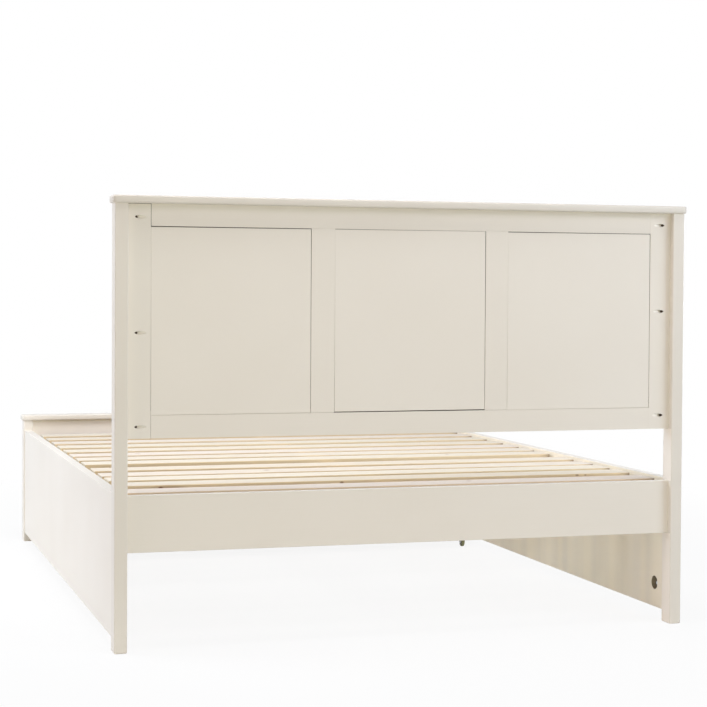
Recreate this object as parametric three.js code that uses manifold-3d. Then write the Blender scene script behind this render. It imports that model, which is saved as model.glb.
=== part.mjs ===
// Storage bed for a 1500 x 2000 mm mattress, in millimetres, +Z up.
// The headboard stands at +Y and the foot end, with the drawer, at -Y.
// Left is -X and right is +X, as seen by someone at the foot who looks at the headboard.
// The origin lies on the floor, under the middle of the bed.

import * as THREE from "three";
import { mergeVertices } from "three/addons/utils/BufferGeometryUtils.js";
import Module from "manifold-3d";

const wasm = await Module();
wasm.setup();

// The whole frame
const frameWidth = 1590;
const frameLength = 2100;
const postWidth = 34;
const postDepth = 50;
const postArris = 3;
const postFootChamfer = 2.5;
const headHeight = 1164;
const footHeight = 461;
const boardThickness = 20;
const boardRecess = 18;
const arris = 1.5;
const endArris = 1.2;
const heavyArris = 2;
const fitGap = 0.3;

// Capping boards of the headboard and the footboard
const capThickness = 20;
const capOverhang = 7;
const capRadius = 4;
const capEndRadius = 3.2;

// Headboard: a frame with three panels
const headboardBottom = 545;
const topRailHeight = 57;
const bottomRailHeight = 59;
const stileWidth = 61;
const mullionWidth = 64;
const grooveWidth = 8;
const grooveDepth = 9;
const frameArris = 0.6;
const shoulderGap = 0.5;
const panelBackSet = 0.8;
const panelArris = 0.8;
const panelEndArris = 0.6;

// How each panel has settled in its grooves: the gaps round its field, and its tilt in degrees
const panelFits = {
  left: { toLeft: 1.0, toRight: 0.45, above: 1.5, below: 0.4, tilt: 0.07 },
  centre: { toLeft: 1.1, toRight: 0.45, above: 0.7, below: 2.4, tilt: 0.08 },
  right: { toLeft: 1.0, toRight: 0.45, above: 1.9, below: 0.6, tilt: 0.07 },
};

// Angled pocket holes for the screws that hold the stiles to the posts
const pocketRadius = 4.75;
const pocketAngle = THREE.MathUtils.degToRad(17.5);
const pocketReach = 17;
const pocketFromPost = 35;
const pilotRadius = 2.2;
const pocketHeightsRight = [575, 815, 1110];
const pocketHeightsLeft = [583, 872, 1111];

// Rails between the posts
const railBottom = 253;
const headRailTop = 400;
const tenonLength = 8;
const tenonThickness = 10;
const tenonShoulder = 16;

// Side panels
const sideThickness = 26;
const sideInset = 4;
const sideBottom = 31;
const sideTop = 405;

// Knock-down bolts at the ends of the side panels
const boltPocketRadius = 19;
const boltPocketDepth = 19;
const boltPocketFromEnd = 52;
const boltHeights = [100, 320];
const boltRadius = 4;
const boltBoreRadius = 4.5;
const boltFromInnerFace = 10;
const boltInPost = 30;
const washerFlat = 11;
const washerWidth = 14;
const nutRadius = 7.5;
const nutThickness = 6.5;
const rodPastNut = 4;

// Mattress base
const slatWidth = 90;
const slatThickness = 18;
const slatLength = 1500;
const slatTop = 400;
const slatRadius = 2;
const slatEndRadius = 1.5;
const firstSlatGap = 39;
const slatGaps = [69, 44, 30, 52, 99, 39, 42, 55, 63, 60, 60, 65];
const ledgeSize = 35;
const beamWidth = 45;
const beamHeight = 90;
const bracketSheet = 3;
const bracketReach = 42;
const bracketPlay = 1;
const bracketLift = 70;
const bracketWing = 25;
const bracketCorner = 6;

// Drawer
const drawerFrontGap = 3;
const drawerFrontBottom = 40;
const drawerFrontTop = 249;
const drawerBoard = 15;
const drawerSideGap = 13;
const drawerSideBottom = 44;
const drawerSideTop = 214;
const drawerDepth = 550;
const drawerGroove = 6;
const drawerBottomUnderside = 52;
const drawerBottomThickness = 9;
const knobFromMiddle = 430;
const knobHeight = 150;
const knobFootRadius = 10;
const knobNeckRadius = 7.5;
const knobHeadRadius = 16;
const knobNeckLength = 9;
const knobHeadLength = 17;
const knobLength = 24;

// Castors under the drawer
const wheelRadius = 18;
const wheelWidth = 10;
const axleRadius = 3;
const wheelBoreRadius = 3.08;
const wheelHubRadius = 6.5;
const wheelRimRadius = 14;
const wheelHollow = 2;
const wheelTreadEase = 1.2;
const wheelSteps = 24;
const forkGap = 12;
const forkSheet = 2;
const forkPlateWidth = 32;
const forkPlateLength = 38;
const forkPlateCorner = 4;
const forkFoot = 7;
const forkShoulder = 14;
const axleHead = 1.5;
const castorFromMiddle = 716;
const castorFromBack = 22;
const castorFromFront = 30;

const X = new THREE.Vector3(1, 0, 0);
const Y = new THREE.Vector3(0, 1, 0);
const Z = new THREE.Vector3(0, 0, 1);

const postInner = frameWidth / 2 - postWidth;
const headBack = frameLength / 2;
const headInner = headBack - postDepth;
const headBoardY = headBack - boardRecess - boardThickness / 2;
const slatUnderside = slatTop - slatThickness;
const sideInner = frameWidth / 2 - sideInset - sideThickness;
const railInner = headBoardY - boardThickness / 2;

const tongueThickness = grooveWidth - 2 * fitGap;
const tongueLength = grooveDepth - fitGap;
const stileInner = postInner - stileWidth;
const frameTop = headHeight - capThickness;
const openingBottom = headboardBottom + bottomRailHeight;
const openingTop = frameTop - topRailHeight;
const openingWidth = (2 * stileInner - 2 * mullionWidth) / 3;
const mullionX = (openingWidth + mullionWidth) / 2;

const frontInner = -railInner;
const backInner = frontInner + drawerDepth;
const drawerOuter = postInner - drawerSideGap;
const drawerInner = drawerOuter - drawerBoard;
const wallHeight = drawerSideTop - drawerSideBottom;
const wallMiddle = (drawerSideTop + drawerSideBottom) / 2;
const grooveHeight = drawerBottomThickness + 2 * fitGap;
const bottomMiddle = drawerBottomUnderside + drawerBottomThickness / 2;

const paint = () => new THREE.MeshStandardMaterial({ color: 0xe9e3d6, roughness: 0.45, metalness: 0 });
const pine = () => new THREE.MeshStandardMaterial({ color: 0xecd3a8, roughness: 0.6, metalness: 0 });
const ply = () => new THREE.MeshStandardMaterial({ color: 0xdcc39a, roughness: 0.7, metalness: 0 });
const zinc = () => new THREE.MeshStandardMaterial({ color: 0xb8bbbe, roughness: 0.35, metalness: 1 });
const nylon = () => new THREE.MeshStandardMaterial({ color: 0x2a2a2c, roughness: 0.55, metalness: 0 });

const bed = new THREE.Group();

// Adds one named piece at its place.
function place(name, geometry, material, x, y, z) {
  const mesh = new THREE.Mesh(geometry, material);
  mesh.name = name;
  mesh.position.set(x, y, z);
  bed.add(mesh);
}

// Turns a closed geometry into a solid that can be joined and cut.
function toSolid(geometry) {
  const plain = geometry.clone();
  plain.deleteAttribute("normal");
  plain.deleteAttribute("uv");
  const merged = mergeVertices(plain, 1e-4);
  const vertProperties = Float32Array.from(merged.attributes.position.array);
  const triVerts = Uint32Array.from(merged.index.array);
  return new wasm.Manifold(new wasm.Mesh({ numProp: 3, vertProperties, triVerts }));
}

function toGeometry(solid) {
  const mesh = solid.getMesh();
  const geometry = new THREE.BufferGeometry();
  geometry.setAttribute("position", new THREE.BufferAttribute(Float32Array.from(mesh.vertProperties), 3));
  geometry.setIndex(new THREE.BufferAttribute(Uint32Array.from(mesh.triVerts), 1));
  const flat = geometry.toNonIndexed();
  flat.computeVertexNormals();
  return flat;
}

function join(...geometries) {
  return toGeometry(geometries.map(toSolid).reduce((sum, next) => sum.add(next)));
}

function cut(base, ...tools) {
  return toGeometry(tools.map(toSolid).reduce((rest, tool) => rest.subtract(tool), toSolid(base)));
}

function moved(geometry, x, y, z) {
  return geometry.clone().translate(x, y, z);
}

// A rectangle with rounded corners, centred on the origin of its plane.
function roundedRectangle(width, height, radius) {
  const shape = new THREE.Shape();
  const right = width / 2 - radius;
  const top = height / 2 - radius;
  shape.absarc(right, top, radius, 0, Math.PI / 2, false);
  shape.absarc(-right, top, radius, Math.PI / 2, Math.PI, false);
  shape.absarc(-right, -top, radius, Math.PI, 1.5 * Math.PI, false);
  shape.absarc(right, -top, radius, 1.5 * Math.PI, 2 * Math.PI, false);
  return shape;
}

// Sweeps a section straight, with its first axis along `across` and its second along `through`.
// The sweep is centred and runs along across x through; `endBevel` eases the arrises of both ends.
function sweep(shape, length, across, through, endBevel = 0, arcSteps = 2) {
  const geometry = new THREE.ExtrudeGeometry(shape, {
    depth: length - 2 * endBevel,
    curveSegments: arcSteps,
    bevelEnabled: endBevel > 0,
    bevelThickness: endBevel,
    bevelSize: endBevel,
    bevelOffset: -endBevel,
    bevelSegments: 1,
  });
  geometry.translate(0, 0, endBevel - length / 2);
  const along = across.clone().cross(through);
  return geometry.applyMatrix4(new THREE.Matrix4().makeBasis(across, through, along));
}

function board(width, thickness, length, across, through, radius = arris, endBevel = 0) {
  return sweep(roundedRectangle(width, thickness, radius), length, across, through, endBevel);
}

function block(sizeX, sizeY, sizeZ) {
  return new THREE.BoxGeometry(sizeX, sizeY, sizeZ);
}

// A plain round bar along an axis, used as a pin or as a drill.
function roundBar(radius, length, axis, sides = 12) {
  const turn = new THREE.Quaternion().setFromUnitVectors(Y, axis);
  return new THREE.CylinderGeometry(radius, radius, length, sides).applyQuaternion(turn);
}

// The capping board that covers the posts of one end of the bed.
function makeCap(name, y, top) {
  const length = frameWidth + 2 * capOverhang;
  const depth = postDepth + 2 * capOverhang;
  const geometry = board(depth, capThickness, length, Y, Z, capRadius, capEndRadius);
  place(name, geometry, paint(), 0, y, top - capThickness / 2);
}

// A post, drilled for two bolts and mortised for its rail. `end` is +1 at the head and -1 at the foot.
function makePost(name, side, end, height, railTop) {
  const x = side * (frameWidth - postWidth) / 2;
  const y = end * (headBack - postDepth / 2);
  const spare = 10;
  const shaft = board(postWidth, postDepth, height + spare, X, Y, postArris, postFootChamfer);
  const topTrim = block(2 * postWidth, 2 * postDepth, 2 * spare);
  const mortise = block(
    tenonLength + 2 * fitGap,
    tenonThickness + 2 * fitGap,
    railTop - railBottom - 2 * tenonShoulder + 2 * fitGap,
  );
  const mortiseX = side * (postInner + tenonLength / 2) - x;
  const mortiseZ = (railTop + railBottom - height) / 2;
  const drillX = side * (sideInner + boltFromInnerFace) - x;
  const drillY = end * (headInner + boltInPost / 2) - y;
  const drills = boltHeights.map((z) => moved(
    roundBar(boltBoreRadius, boltInPost + 2 * fitGap, Y),
    drillX,
    drillY,
    z - height / 2,
  ));
  const geometry = cut(
    moved(shaft, 0, 0, spare / 2),
    moved(topTrim, 0, 0, height / 2 + spare),
    moved(mortise, mortiseX, end * headBoardY - y, mortiseZ),
    ...drills,
  );
  place(name, geometry, paint(), x, y, height / 2);
}

// A rail between two posts, with a stub tenon at each end.
function makeRail(name, end, top) {
  const height = top - railBottom;
  const body = board(height, boardThickness, 2 * postInner, Z, Y);
  const tongue = block(2 * (postInner + tenonLength), tenonThickness, height - 2 * tenonShoulder);
  place(name, join(body, tongue), paint(), 0, end * headBoardY, (top + railBottom) / 2);
}

// The section of a frame bar: `width` across the bar, with a groove in its low edge, its high edge or both.
function grooved(width, low, high) {
  const halfThickness = boardThickness / 2;
  const outline = new THREE.Shape();
  const halfGroove = grooveWidth / 2;
  const edge = width / 2;
  const cornerX = edge - frameArris;
  const cornerY = halfThickness - frameArris;
  outline.absarc(cornerX, cornerY, frameArris, 0, Math.PI / 2, false);
  outline.absarc(-cornerX, cornerY, frameArris, Math.PI / 2, Math.PI, false);
  if (low) {
    outline.lineTo(-edge, halfGroove);
    outline.lineTo(grooveDepth - edge, halfGroove);
    outline.lineTo(grooveDepth - edge, -halfGroove);
    outline.lineTo(-edge, -halfGroove);
  }
  outline.absarc(-cornerX, -cornerY, frameArris, Math.PI, 1.5 * Math.PI, false);
  outline.absarc(cornerX, -cornerY, frameArris, 1.5 * Math.PI, 2 * Math.PI, false);
  if (high) {
    outline.lineTo(edge, -halfGroove);
    outline.lineTo(edge - grooveDepth, -halfGroove);
    outline.lineTo(edge - grooveDepth, halfGroove);
    outline.lineTo(edge, halfGroove);
  }
  return outline;
}

// An angled pocket, bored into a stile's back face towards the post, with a pilot hole at its deep end.
function pocketDrill(side) {
  const towardsPost = new THREE.Vector3(side * Math.cos(pocketAngle), -Math.sin(pocketAngle), 0);
  const entry = new THREE.Vector3(side * (postInner - pocketFromPost), headBack - boardRecess, 0);
  const runOut = 60;
  const barrel = roundBar(pocketRadius, runOut + pocketReach, towardsPost, 16);
  const pilotLength = 2 * pocketFromPost;
  const pilot = roundBar(pilotRadius, pilotLength, towardsPost, 6);
  const barrelAt = entry.clone().addScaledVector(towardsPost, (pocketReach - runOut) / 2);
  const pilotAt = entry.clone().addScaledVector(towardsPost, pilotLength / 2);
  return join(moved(barrel, ...barrelAt), moved(pilot, ...pilotAt));
}

function makeStile(name, side, pocketHeights) {
  const height = frameTop - headboardBottom;
  const x = side * (postInner - stileWidth / 2);
  const z = (frameTop + headboardBottom) / 2;
  const bar = sweep(grooved(stileWidth, side > 0, side < 0), height, X, Y);
  const drills = pocketHeights.map((pocketZ) => moved(pocketDrill(side), -x, -headBoardY, pocketZ - z));
  place(name, cut(bar, ...drills), paint(), x, headBoardY, z);
}

// A rail of the headboard's frame, grooved for the panels, with tenons that enter the stiles' grooves.
function makeFrameRail(name, bottom, top, grooveAbove) {
  const height = top - bottom;
  const bar = sweep(grooved(height, !grooveAbove, grooveAbove), 2 * stileInner - shoulderGap, Z, Y);
  const tenon = block(2 * (stileInner + tongueLength), tongueThickness, height - grooveDepth);
  const tenonShift = (grooveAbove ? -1 : 1) * grooveDepth / 2;
  const geometry = join(moved(bar, -shoulderGap / 2, 0, 0), moved(tenon, 0, 0, tenonShift));
  place(name, geometry, paint(), 0, headBoardY, (top + bottom) / 2);
}

function makeMullion(name, x) {
  const height = openingTop - openingBottom;
  const bar = sweep(grooved(mullionWidth, true, true), height - shoulderGap, X, Y);
  const tenonWidth = mullionWidth - 2 * (grooveDepth + fitGap);
  const tenon = block(tenonWidth, tongueThickness, height + 2 * tongueLength);
  const geometry = join(moved(bar, 0, 0, shoulderGap / 2), tenon);
  place(name, geometry, paint(), x, headBoardY, (openingTop + openingBottom) / 2);
}

// A panel that lies nearly flush at the back of the headboard and in a recess at its front.
function makePanel(name, x, fit) {
  const height = openingTop - openingBottom;
  const tongue = block(openingWidth + 2 * tongueLength, tongueThickness, height + 2 * grooveDepth - fitGap);
  const fieldWidth = openingWidth - fit.toLeft - fit.toRight;
  const fieldHeight = height - fit.above - fit.below;
  const fieldDepth = boardThickness / 2 - panelBackSet;
  const field = board(fieldWidth, fieldDepth, fieldHeight, X, Y, panelArris, panelEndArris);
  field.rotateY(THREE.MathUtils.degToRad(fit.tilt));
  const shiftX = (fit.toLeft - fit.toRight) / 2;
  const shiftZ = (fit.below - fit.above) / 2;
  const geometry = join(moved(tongue, 0, 0, -fitGap / 2), moved(field, shiftX, fieldDepth / 2, shiftZ));
  place(name, geometry, paint(), x, headBoardY, (openingTop + openingBottom) / 2);
}

// A side panel with a round pocket and a bore for each of its four bolts.
function makeSidePanel(name, side) {
  const length = 2 * headInner;
  const height = sideTop - sideBottom;
  const x = side * (sideInner + sideThickness / 2);
  const z = (sideTop + sideBottom) / 2;
  const tools = [];
  for (const end of [-1, 1]) {
    for (const boltZ of boltHeights) {
      const pocketY = end * (headInner - boltPocketFromEnd);
      const pocket = roundBar(boltPocketRadius, 2 * boltPocketDepth, X, 28);
      tools.push(moved(pocket, side * sideInner - x, pocketY, boltZ - z));
      const bore = roundBar(boltBoreRadius, 2 * boltPocketFromEnd, Y);
      tools.push(moved(bore, side * (sideInner + boltFromInnerFace) - x, end * headInner, boltZ - z));
    }
  }
  const panel = board(height, sideThickness, length, Z, X, heavyArris);
  place(name, cut(panel, ...tools), paint(), x, 0, z);
}

// A bolt set: a rod that stands in the post, with a half-moon washer and a nut in the round pocket.
function makeSideBolt(name, side, end, z) {
  const washerRadius = boltPocketRadius - fitGap;
  const spread = Math.acos(washerFlat / washerRadius);
  const moon = new THREE.Shape();
  moon.absarc(0, 0, washerRadius, -spread, spread, false);
  const washer = sweep(moon, washerWidth, Y, Z, 0, 6);
  const sunk = 1;
  const nut = new THREE.CylinderGeometry(nutRadius, nutRadius, nutThickness + sunk, 6);
  const tipY = washerFlat - nutThickness - rodPastNut;
  const rodEnd = boltPocketFromEnd + boltInPost;
  const rod = roundBar(boltRadius, rodEnd - tipY, Y);
  const geometry = join(
    washer,
    moved(nut, 0, washerFlat + (sunk - nutThickness) / 2, 0),
    moved(rod, 0, (rodEnd + tipY) / 2, 0),
  );
  if (end < 0) {
    geometry.rotateZ(Math.PI);
  }
  const x = side * (sideInner + boltFromInnerFace);
  place(name, geometry, zinc(), x, end * (headInner - boltPocketFromEnd), z);
}

function makeSlats() {
  let headEdge = headBoardY - boardThickness / 2 - firstSlatGap;
  for (let index = 0; index <= slatGaps.length; index += 1) {
    const slat = board(slatWidth, slatThickness, slatLength, Y, Z, slatRadius, slatEndRadius);
    const number = String(index + 1).padStart(2, "0");
    place(`slat_${number}`, slat, pine(), 0, headEdge - slatWidth / 2, slatTop - slatThickness / 2);
    headEdge -= slatWidth + slatGaps[index];
  }
}

// The batten inside a side panel that the slats' ends lie on.
function makeLedge(name, side) {
  const batten = board(ledgeSize, ledgeSize, 2 * headInner, Z, X);
  place(name, batten, pine(), side * (sideInner - ledgeSize / 2), 0, slatUnderside - ledgeSize / 2);
}

// The beam under the middle of the slats, held at both ends in folded steel brackets.
function makeCentreBeam() {
  const length = 2 * (railInner - bracketSheet - bracketPlay);
  const beam = board(beamHeight, beamWidth, length, Z, X, heavyArris);
  place("centre_beam", beam, pine(), 0, 0, slatUnderside - beamHeight / 2);
}

function makeBeamBracket(name, end) {
  const inner = beamWidth + 2 * bracketPlay;
  const outer = inner + 2 * bracketSheet;
  const height = bracketLift + bracketSheet;
  const trough = new THREE.Shape();
  trough.moveTo(0, outer / 2);
  trough.lineTo(0, -outer / 2);
  trough.lineTo(height, -outer / 2);
  trough.lineTo(height, -inner / 2);
  trough.lineTo(bracketSheet, -inner / 2);
  trough.lineTo(bracketSheet, inner / 2);
  trough.lineTo(height, inner / 2);
  trough.lineTo(height, outer / 2);
  const seat = sweep(trough, bracketReach, Z, X);
  const plate = board(height, outer + 2 * bracketWing, bracketSheet, Z, X, bracketCorner);
  const plateY = end * (bracketReach - bracketSheet) / 2;
  const geometry = join(seat, moved(plate, 0, plateY, height / 2));
  const y = end * (railInner - bracketReach / 2);
  place(name, geometry, zinc(), 0, y, slatUnderside - beamHeight - bracketSheet);
}

// The groove round the inside of the drawer that its bottom lies in.
function bottomGroove() {
  const width = 2 * (drawerInner + drawerGroove);
  const depth = drawerDepth + 2 * drawerGroove;
  const slot = block(width, depth, grooveHeight);
  return moved(slot, 0, (frontInner + backInner) / 2, drawerBottomUnderside + grooveHeight / 2);
}

function makeDrawerBox() {
  const groove = bottomGroove();
  const frontX = 2 * (postInner - drawerFrontGap);
  const frontHeight = drawerFrontTop - drawerFrontBottom;
  const frontZ = (drawerFrontTop + drawerFrontBottom) / 2;
  const front = board(frontHeight, boardThickness, frontX, Z, Y, arris, endArris);
  const frontY = frontInner - boardThickness / 2;
  place("drawer_front", cut(front, moved(groove, 0, -frontY, -frontZ)), paint(), 0, frontY, frontZ);

  const backBoard = board(wallHeight, drawerBoard, 2 * drawerInner, Z, Y);
  const backY = backInner + drawerBoard / 2;
  const back = cut(backBoard, moved(groove, 0, -backY, -wallMiddle));
  place("drawer_back", back, ply(), 0, backY, wallMiddle);

  const sideLength = drawerDepth + drawerBoard;
  const sideY = frontInner + sideLength / 2;
  for (const [name, side] of [["drawer_side_left", -1], ["drawer_side_right", 1]]) {
    const x = side * (drawerInner + drawerBoard / 2);
    const sideBoard = board(wallHeight, drawerBoard, sideLength, Z, X);
    place(name, cut(sideBoard, moved(groove, -x, -sideY, -wallMiddle)), ply(), x, sideY, wallMiddle);
  }

  const seat = 2 * (drawerGroove - fitGap);
  const bottom = block(2 * drawerInner + seat, drawerDepth + seat, drawerBottomThickness);
  place("drawer_bottom", bottom, ply(), 0, (frontInner + backInner) / 2, bottomMiddle);
}

// A turned knob. Its profile runs from the foot on the drawer front to the middle of its face.
function makeKnob(name, side) {
  const profile = new THREE.Path();
  profile.moveTo(0, 0);
  profile.lineTo(knobFootRadius, 0);
  profile.quadraticCurveTo(knobNeckRadius, 0, knobNeckRadius, knobNeckLength);
  profile.quadraticCurveTo(knobHeadRadius, knobNeckLength, knobHeadRadius, knobHeadLength);
  profile.quadraticCurveTo(knobHeadRadius, knobLength, 0, knobLength);
  const knob = new THREE.LatheGeometry(profile.getPoints(4), 20);
  knob.rotateX(Math.PI);
  place(name, knob, paint(), side * knobFromMiddle, frontInner - boardThickness, knobHeight);
}

// A fixed castor fork, folded from sheet, with its axle.
function makeFork(name, x, y) {
  const plate = board(forkPlateWidth, forkPlateLength, forkSheet, X, Y, forkPlateCorner);
  const plateZ = drawerBottomUnderside - forkSheet / 2;
  const cheekOutline = new THREE.Shape();
  const cheekTop = drawerBottomUnderside - wheelRadius;
  cheekOutline.moveTo(cheekTop, forkShoulder);
  cheekOutline.lineTo(0, forkFoot);
  cheekOutline.absarc(0, 0, forkFoot, Math.PI / 2, 1.5 * Math.PI, false);
  cheekOutline.lineTo(cheekTop, -forkShoulder);
  const cheek = sweep(cheekOutline, forkSheet, Z, Y, 0, 6);
  const cheekX = (forkGap + forkSheet) / 2;
  const axle = roundBar(axleRadius, forkGap + 2 * (forkSheet + axleHead), X, wheelSteps);
  const geometry = join(
    moved(plate, 0, 0, plateZ - wheelRadius),
    moved(cheek, cheekX, 0, 0),
    moved(cheek, -cheekX, 0, 0),
    axle,
  );
  place(name, geometry, zinc(), x, y, wheelRadius);
}

// A castor wheel with a rounded tread and a boss at each side of its bore.
function makeWheel(name, x, y) {
  const face = wheelWidth / 2;
  const web = face - wheelHollow;
  const slope = 0.5;
  const half = [
    [wheelBoreRadius, face],
    [wheelHubRadius, face],
    [wheelHubRadius + slope, web],
    [wheelRimRadius - slope, web],
    [wheelRimRadius, face],
    [wheelRadius - wheelTreadEase, face],
    [wheelRadius, web],
  ];
  const mirrored = half.map(([radius, along]) => [radius, -along]);
  const loop = [...mirrored, ...half.reverse(), mirrored[0]];
  const profile = loop.map(([radius, along]) => new THREE.Vector2(radius, along));
  const wheel = new THREE.LatheGeometry(profile, wheelSteps);
  wheel.rotateZ(-Math.PI / 2);
  place(name, wheel, nylon(), x, y, wheelRadius);
}

makeCap("headboard_cap", headBack - postDepth / 2, headHeight);
makeCap("footboard_cap", postDepth / 2 - headBack, footHeight);
makeRail("head_rail", 1, headRailTop);
makeRail("foot_rail", -1, footHeight - capThickness);
makeFrameRail("headboard_top_rail", openingTop, frameTop, false);
makeFrameRail("headboard_bottom_rail", headboardBottom, openingBottom, true);
makePanel("headboard_panel_centre", 0, panelFits.centre);
makeSlats();
makeCentreBeam();
makeBeamBracket("beam_bracket_head", 1);
makeBeamBracket("beam_bracket_foot", -1);
makeDrawerBox();

for (const [word, side] of [["left", -1], ["right", 1]]) {
  makePost(`head_post_${word}`, side, 1, headHeight - capThickness, headRailTop);
  makePost(`foot_post_${word}`, side, -1, footHeight - capThickness, footHeight - capThickness);
  makeStile(`headboard_stile_${word}`, side, side < 0 ? pocketHeightsLeft : pocketHeightsRight);
  makeMullion(`headboard_mullion_${word}`, side * mullionX);
  makePanel(`headboard_panel_${word}`, side * (openingWidth + mullionWidth), panelFits[word]);
  makeSidePanel(`side_panel_${word}`, side);
  makeLedge(`slat_ledge_${word}`, side);
  makeKnob(`drawer_knob_${word}`, side);
  for (const [endWord, end] of [["head", 1], ["foot", -1]]) {
    boltHeights.forEach((z, level) => {
      makeSideBolt(`side_bolt_${endWord}_${word}_${level === 0 ? "lower" : "upper"}`, side, end, z);
    });
  }
  for (const [where, y] of [["back", backInner - castorFromBack], ["front", frontInner + castorFromFront]]) {
    makeFork(`castor_fork_${where}_${word}`, side * castorFromMiddle, y);
    makeWheel(`castor_wheel_${where}_${word}`, side * castorFromMiddle, y);
  }
}

export default bed;
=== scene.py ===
"""Storage bed: an ivory lacquered frame with pine slats and a rolling drawer, dressed around its solids."""

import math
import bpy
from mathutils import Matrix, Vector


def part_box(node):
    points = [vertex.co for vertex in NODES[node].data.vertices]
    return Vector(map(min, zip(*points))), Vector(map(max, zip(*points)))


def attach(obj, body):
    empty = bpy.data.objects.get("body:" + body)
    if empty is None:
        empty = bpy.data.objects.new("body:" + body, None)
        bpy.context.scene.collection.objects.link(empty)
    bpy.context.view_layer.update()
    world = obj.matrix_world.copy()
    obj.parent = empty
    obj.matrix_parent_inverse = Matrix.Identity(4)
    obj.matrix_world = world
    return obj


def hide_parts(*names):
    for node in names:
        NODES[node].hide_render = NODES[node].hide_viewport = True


bl_info = {
    "name": "Storage Bed",
    "version": (1, 0, 0),
    "blender": (4, 5, 0),
    "location": "View3D > Sidebar > Storage Bed",
    "description": "Finishes and fittings of a storage bed with slats and a rolling drawer",
    "category": "Object",
}

from functools import partial

import bmesh
import bpy
from mathutils import Matrix, Vector

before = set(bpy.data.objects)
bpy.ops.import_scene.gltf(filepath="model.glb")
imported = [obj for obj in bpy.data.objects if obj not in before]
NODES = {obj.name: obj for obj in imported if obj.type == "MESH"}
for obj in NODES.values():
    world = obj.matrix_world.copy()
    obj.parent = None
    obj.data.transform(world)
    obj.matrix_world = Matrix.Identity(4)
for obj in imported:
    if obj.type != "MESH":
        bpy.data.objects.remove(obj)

MM = 0.001
ALONG_X, ALONG_Y, ALONG_Z = range(3)
SIDES = {"left": -1, "right": 1}
# The sockets of a Mix node that take its two colours
FIRST, SECOND = 6, 7

# The camera of the photograph: focal length and optical centre in pixels of its frame, turns in degrees
PICTURE_SIZE = 707
FOCAL_PIXELS = 1758.9
OPTICAL_CENTRE_Y = 329.24
CAMERA_PLACE = (1.50997, 5.46903, 0.93435)
CAMERA_YAW = 16.92
CAMERA_PITCH = 1.37
CAMERA_ROLL = 0.35
SENSOR_WIDTH = 36.0

# Places on the CAD solids that the finishes and fittings need, in metres
STILE_LOW, STILE_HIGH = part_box("headboard_stile_right")
STILE_INNER = STILE_LOW.x
STILE_BACK = STILE_HIGH.y
STILE_TOP = STILE_HIGH.z
STILE_MIDDLE_Y = (STILE_LOW.y + STILE_BACK) / 2
POST_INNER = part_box("head_post_right")[0].x
SIDE_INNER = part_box("side_panel_right")[0].x
MULLION_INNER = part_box("headboard_mullion_right")[0].x
HEADBOARD_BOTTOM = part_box("headboard_bottom_rail")[0].z
OPENING_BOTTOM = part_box("headboard_bottom_rail")[1].z
OPENING_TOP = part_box("headboard_top_rail")[0].z
RAIL_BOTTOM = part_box("head_rail")[0].z
RAIL_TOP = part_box("head_rail")[1].z
SLATS = sorted(name for name in NODES if name.startswith("slat_") and "ledge" not in name)

# Pocket holes in the stiles: how they run towards the posts, where their walls lie before the posts' inner
# faces, and their heights
POCKET_ANGLE = math.radians(17.5)
POCKET_REACH = 17 * MM
POCKET_FROM_POST = 35 * MM
POCKET_WALLS_FAR = 52 * MM
POCKET_WALLS_NEAR = 24 * MM
POCKET_WALLS_DEEP = 0.3 * MM
POCKET_HEIGHTS = {"right": (0.575, 0.815, 1.110), "left": (0.583, 0.872, 1.111)}

# Knots and stains in the slats: place in metres, half its length, depth and height in mm, and how
# dark it is
SLAT_KNOTS = {
    "slat_01": (((-0.212, 0.915, 0.400), (9, 7, 8), 0.5),),
    "slat_02": (
        ((-0.583, 0.814, 0.396), (6, 9, 3), 0.55),
        ((-0.609, 0.814, 0.396), (4, 8, 2.5), 0.45),
        ((0.612, 0.814, 0.391), (48, 10, 8), 0.42),
        ((0.632, 0.814, 0.393), (8, 9, 4), 0.9),
        ((0.125, 0.814, 0.393), (6, 9, 4), 0.7),
    ),
    "slat_04": (((0.262, 0.505, 0.400), (11, 8, 9), 0.55),),
    "slat_05": (((0.311, 0.418, 0.389), (7, 10, 4), 0.8),),
    "slat_06": (((-0.418, 0.170, 0.400), (8, 6, 9), 0.5),),
    "slat_08": (((0.537, -0.084, 0.400), (10, 7, 9), 0.5),),
    "slat_10": (((-0.024, -0.330, 0.391), (7, 9, 4), 0.7),),
    "slat_12": (((0.188, -0.668, 0.400), (9, 8, 9), 0.5),),
}

# Round bolt pockets in the side panels
BOLT_POCKET_Y = 0.948
BOLT_POCKET_MIDDLE_Z = 0.210
BOLT_POCKET_HALF_RISE = 0.110
BOLT_POCKET_RADIUS = 19 * MM
BOLT_POCKET_DEPTH = 22 * MM

# How far the mask for a painted face reaches before and behind it
SKIN = 0.4 * MM
# The headboard's joints: how deep the lacquer covers them, how far they pass the opening, and how high over
# its foot their dark line of painted shade begins, beside the outer panels and the middle one. Then half the
# width of the painted shade line in the right stile's seams, and its height under the cap
JOINT_PAINT_DEPTH = 2.2 * MM
JOINT_WIDTH = 0.5 * MM
OUTER_JOINT_FOOT = 11 * MM
MIDDLE_JOINT_FOOT = -1 * MM
SEAM_HALF_WIDTH = 0.55 * MM
TOP_SEAM_HEIGHT = 0.9 * MM

# Outlines of turned pieces, from the foot up: shares of the radius and of the length
KNOB_OUTLINE = (
    (0.62, 0.0), (0.62, 0.03), (0.56, 0.08), (0.47, 0.20), (0.45, 0.30), (0.52, 0.38), (0.74, 0.45),
    (0.93, 0.53), (1.00, 0.64), (0.98, 0.75), (0.88, 0.86), (0.68, 0.94), (0.40, 0.985), (0.12, 1.0),
)
# In a pan head, heights are shares of the radius too
PAN_OUTLINE = ((0.96, -0.05), (1.0, 0.06), (0.97, 0.28), (0.84, 0.48), (0.52, 0.62), (0.22, 0.62))
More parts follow.
